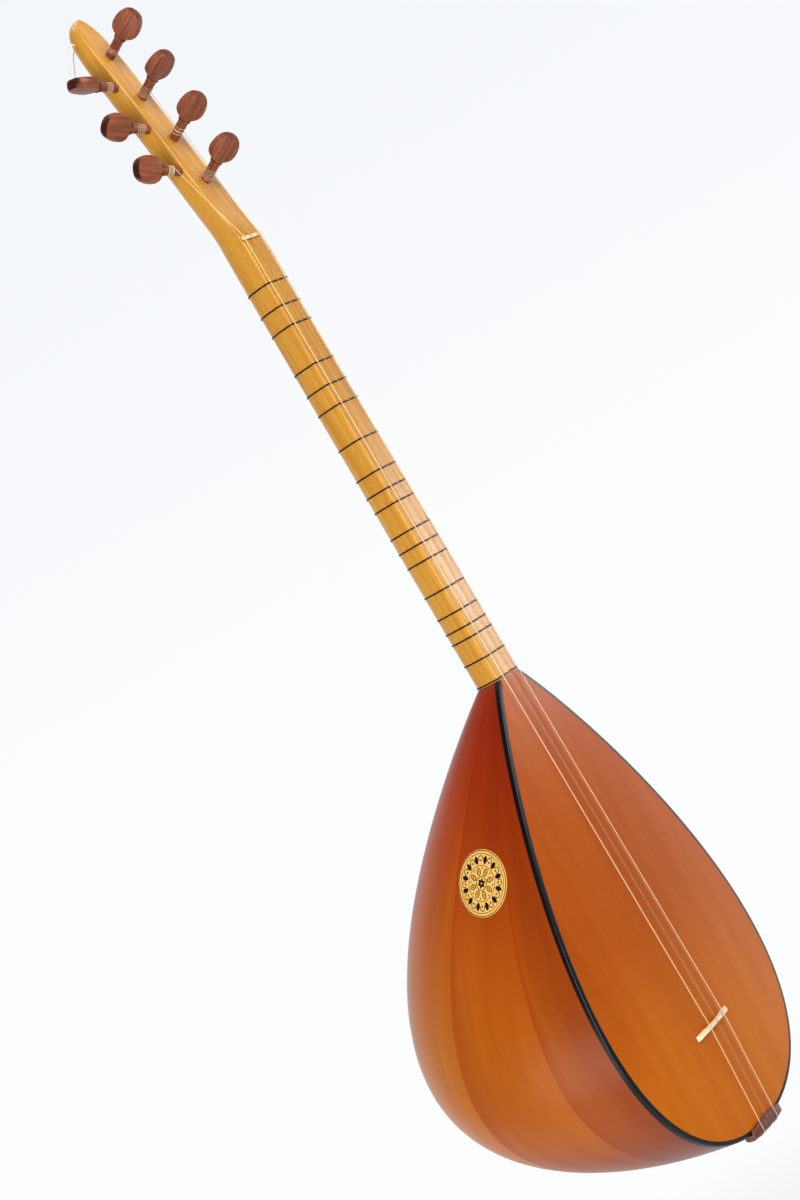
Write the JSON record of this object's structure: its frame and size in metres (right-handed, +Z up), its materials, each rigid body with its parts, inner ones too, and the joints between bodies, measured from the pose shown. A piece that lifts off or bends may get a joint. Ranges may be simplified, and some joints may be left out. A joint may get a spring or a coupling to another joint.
{
  "type": "short-neck saz",
  "caption": "Plucked lute with a deep staved bowl, a fretted neck with movable tied frets and a raked head with turning pegs",
  "frame": {"origin": "tail end of the soundboard, on its centre line and in the plane of its rim, where a stand's arm carries the instrument", "axes": "+Z up the neck, -Y out of the strings' side, +X to the right as the strings are seen from the front"},
  "size_m": [0.259, 0.2665, 1.0136],
  "materials": {
    "stave_mahogany": "high gloss varnish on red-brown bent staves",
    "board_spruce": "orange satin varnish on fine straight grain",
    "binding_plastic": "black polished binding",
    "inner_linden": "bare pale wood, unfinished",
    "neck_beech": "yellow-orange satin varnish with fine flecks",
    "rosette_boxwood": "pale wood with darker inlay, satin",
    "nut_bone": "cream polished bone",
    "bridge_maple": "bare cream maple",
    "tailpiece_rosewood": "dark red-brown satin",
    "peg_rosewood": "dark red-brown lacquer",
    "fret_nylon": "dark nylon line",
    "string_steel": "plain drawn steel wire",
    "string_bronze": "bright bronze wound wire",
    "loop_cotton": "undyed twisted cotton"
  },
  "bodies": {
    "instrument": {"stave_1": "stave_mahogany", "stave_2": "stave_mahogany", "stave_3": "stave_mahogany", "stave_4": "stave_mahogany", "stave_5": "stave_mahogany", "stave_6": "stave_mahogany", "stave_7": "stave_mahogany", "soundboard": "board_spruce", "edge_binding": "binding_plastic", "rim_lining": "inner_linden", "soundboard_brace": "inner_linden", "neck_block": "inner_linden", "tail_block": "inner_linden", "rosette": "rosette_boxwood", "neck": "neck_beech", "headstock": "neck_beech", "nut": "nut_bone", "bridge": "bridge_maple", "tailpiece": "tailpiece_rosewood", "string_1": "string_bronze", "string_2": "string_bronze", "string_3": "string_steel", "string_4": "string_steel", "string_5": "string_bronze", "string_6": "string_bronze", "string_7": "string_bronze", "hanging_loop": "loop_cotton"},
    "tuner_front_1": {"peg_front_1": "peg_rosewood", "winding_front_1": "string_steel"},
    "tuner_front_2": {"peg_front_2": "peg_rosewood", "winding_front_2": "string_steel"},
    "tuner_front_3": {"peg_front_3": "peg_rosewood", "winding_front_3": "string_steel"},
    "tuner_front_4": {"peg_front_4": "peg_rosewood", "winding_front_4": "string_steel"},
    "tuner_side_1": {"peg_side_1": "peg_rosewood", "winding_side_1": "string_steel"},
    "tuner_side_2": {"peg_side_2": "peg_rosewood", "winding_side_2": "string_steel"},
    "tuner_side_3": {"peg_side_3": "peg_rosewood", "winding_side_3": "string_steel"},
    "tied_fret_01": {"fret_01": "fret_nylon"},
    "tied_fret_02": {"fret_02": "fret_nylon"},
    "tied_fret_03": {"fret_03": "fret_nylon"},
    "tied_fret_04": {"fret_04": "fret_nylon"},
    "tied_fret_05": {"fret_05": "fret_nylon"},
    "tied_fret_06": {"fret_06": "fret_nylon"},
    "tied_fret_07": {"fret_07": "fret_nylon"},
    "tied_fret_08": {"fret_08": "fret_nylon"},
    "tied_fret_09": {"fret_09": "fret_nylon"},
    "tied_fret_10": {"fret_10": "fret_nylon"},
    "tied_fret_11": {"fret_11": "fret_nylon"},
    "tied_fret_12": {"fret_12": "fret_nylon"},
    "tied_fret_13": {"fret_13": "fret_nylon"},
    "tied_fret_14": {"fret_14": "fret_nylon"},
    "tied_fret_15": {"fret_15": "fret_nylon"},
    "tied_fret_16": {"fret_16": "fret_nylon"},
    "tied_fret_17": {"fret_17": "fret_nylon"},
    "tied_fret_18": {"fret_18": "fret_nylon"},
    "tied_fret_19": {"fret_19": "fret_nylon"}
  },
  "joints": [
    {"name": "turn_front_1", "type": "hinge", "parent": "instrument", "child": "tuner_front_1", "pos_m": [0.0009, 0.03712, 0.9705], "axis": [0, -0.9367, 0.3502], "continuous": true},
    {"name": "turn_front_2", "type": "hinge", "parent": "instrument", "child": "tuner_front_2", "pos_m": [0.0009, 0.02971, 0.9297], "axis": [0, -0.9367, 0.3502], "continuous": true},
    {"name": "turn_front_3", "type": "hinge", "parent": "instrument", "child": "tuner_front_3", "pos_m": [0.0009, 0.02285, 0.8889], "axis": [0, -0.9367, 0.3502], "continuous": true},
    {"name": "turn_front_4", "type": "hinge", "parent": "instrument", "child": "tuner_front_4", "pos_m": [0.0009, 0.01623, 0.8481], "axis": [0, -0.9367, 0.3502], "continuous": true},
    {"name": "turn_side_1", "type": "hinge", "parent": "instrument", "child": "tuner_side_1", "pos_m": [-0.0138, 0.03727, 0.9445], "axis": [-0.9564, 0.0973, 0.2756], "continuous": true},
    {"name": "turn_side_2", "type": "hinge", "parent": "instrument", "child": "tuner_side_2", "pos_m": [-0.01381, 0.03026, 0.9034], "axis": [-0.9564, 0.0973, 0.2756], "continuous": true},
    {"name": "turn_side_3", "type": "hinge", "parent": "instrument", "child": "tuner_side_3", "pos_m": [-0.0145, 0.02353, 0.8623], "axis": [-0.9564, 0.0973, 0.2756], "continuous": true},
    {"name": "shift_fret_01", "type": "slide", "parent": "instrument", "child": "tied_fret_01", "axis": [0, 0.0116, 0.9999], "range_m": [-0.003, 0.003]},
    {"name": "shift_fret_02", "type": "slide", "parent": "instrument", "child": "tied_fret_02", "axis": [0, 0.0116, 0.9999], "range_m": [-0.003, 0.003]},
    {"name": "shift_fret_03", "type": "slide", "parent": "instrument", "child": "tied_fret_03", "axis": [0, 0.0116, 0.9999], "range_m": [-0.003, 0.003]},
    {"name": "shift_fret_04", "type": "slide", "parent": "instrument", "child": "tied_fret_04", "axis": [0, 0.0116, 0.9999], "range_m": [-0.003, 0.003]},
    {"name": "shift_fret_05", "type": "slide", "parent": "instrument", "child": "tied_fret_05", "axis": [0, 0.0116, 0.9999], "range_m": [-0.003, 0.003]},
    {"name": "shift_fret_06", "type": "slide", "parent": "instrument", "child": "tied_fret_06", "axis": [0, 0.0116, 0.9999], "range_m": [-0.003, 0.003]},
    {"name": "shift_fret_07", "type": "slide", "parent": "instrument", "child": "tied_fret_07", "axis": [0, 0.0116, 0.9999], "range_m": [-0.003, 0.003]},
    {"name": "shift_fret_08", "type": "slide", "parent": "instrument", "child": "tied_fret_08", "axis": [0, 0.0116, 0.9999], "range_m": [-0.003, 0.003]},
    {"name": "shift_fret_09", "type": "slide", "parent": "instrument", "child": "tied_fret_09", "axis": [0, 0.0116, 0.9999], "range_m": [-0.003, 0.003]},
    {"name": "shift_fret_10", "type": "slide", "parent": "instrument", "child": "tied_fret_10", "axis": [0, 0.0116, 0.9999], "range_m": [-0.003, 0.003]},
    {"name": "shift_fret_11", "type": "slide", "parent": "instrument", "child": "tied_fret_11", "axis": [0, 0.0116, 0.9999], "range_m": [-0.003, 0.003]},
    {"name": "shift_fret_12", "type": "slide", "parent": "instrument", "child": "tied_fret_12", "axis": [0, 0.0116, 0.9999], "range_m": [-0.003, 0.003]},
    {"name": "shift_fret_13", "type": "slide", "parent": "instrument", "child": "tied_fret_13", "axis": [0, 0.0116, 0.9999], "range_m": [-0.003, 0.003]},
    {"name": "shift_fret_14", "type": "slide", "parent": "instrument", "child": "tied_fret_14", "axis": [0, 0.0116, 0.9999], "range_m": [-0.003, 0.003]},
    {"name": "shift_fret_15", "type": "slide", "parent": "instrument", "child": "tied_fret_15", "axis": [0, 0.0116, 0.9999], "range_m": [-0.003, 0.003]},
    {"name": "shift_fret_16", "type": "slide", "parent": "instrument", "child": "tied_fret_16", "axis": [0, 0.0116, 0.9999], "range_m": [-0.003, 0.003]},
    {"name": "shift_fret_17", "type": "slide", "parent": "instrument", "child": "tied_fret_17", "axis": [0, 0.0116, 0.9999], "range_m": [-0.003, 0.003]},
    {"name": "shift_fret_18", "type": "slide", "parent": "instrument", "child": "tied_fret_18", "axis": [0, 0.0116, 0.9999], "range_m": [-0.003, 0.003]},
    {"name": "shift_fret_19", "type": "slide", "parent": "instrument", "child": "tied_fret_19", "axis": [0, 0.0116, 0.9999], "range_m": [0, 0.003]}
  ]
}
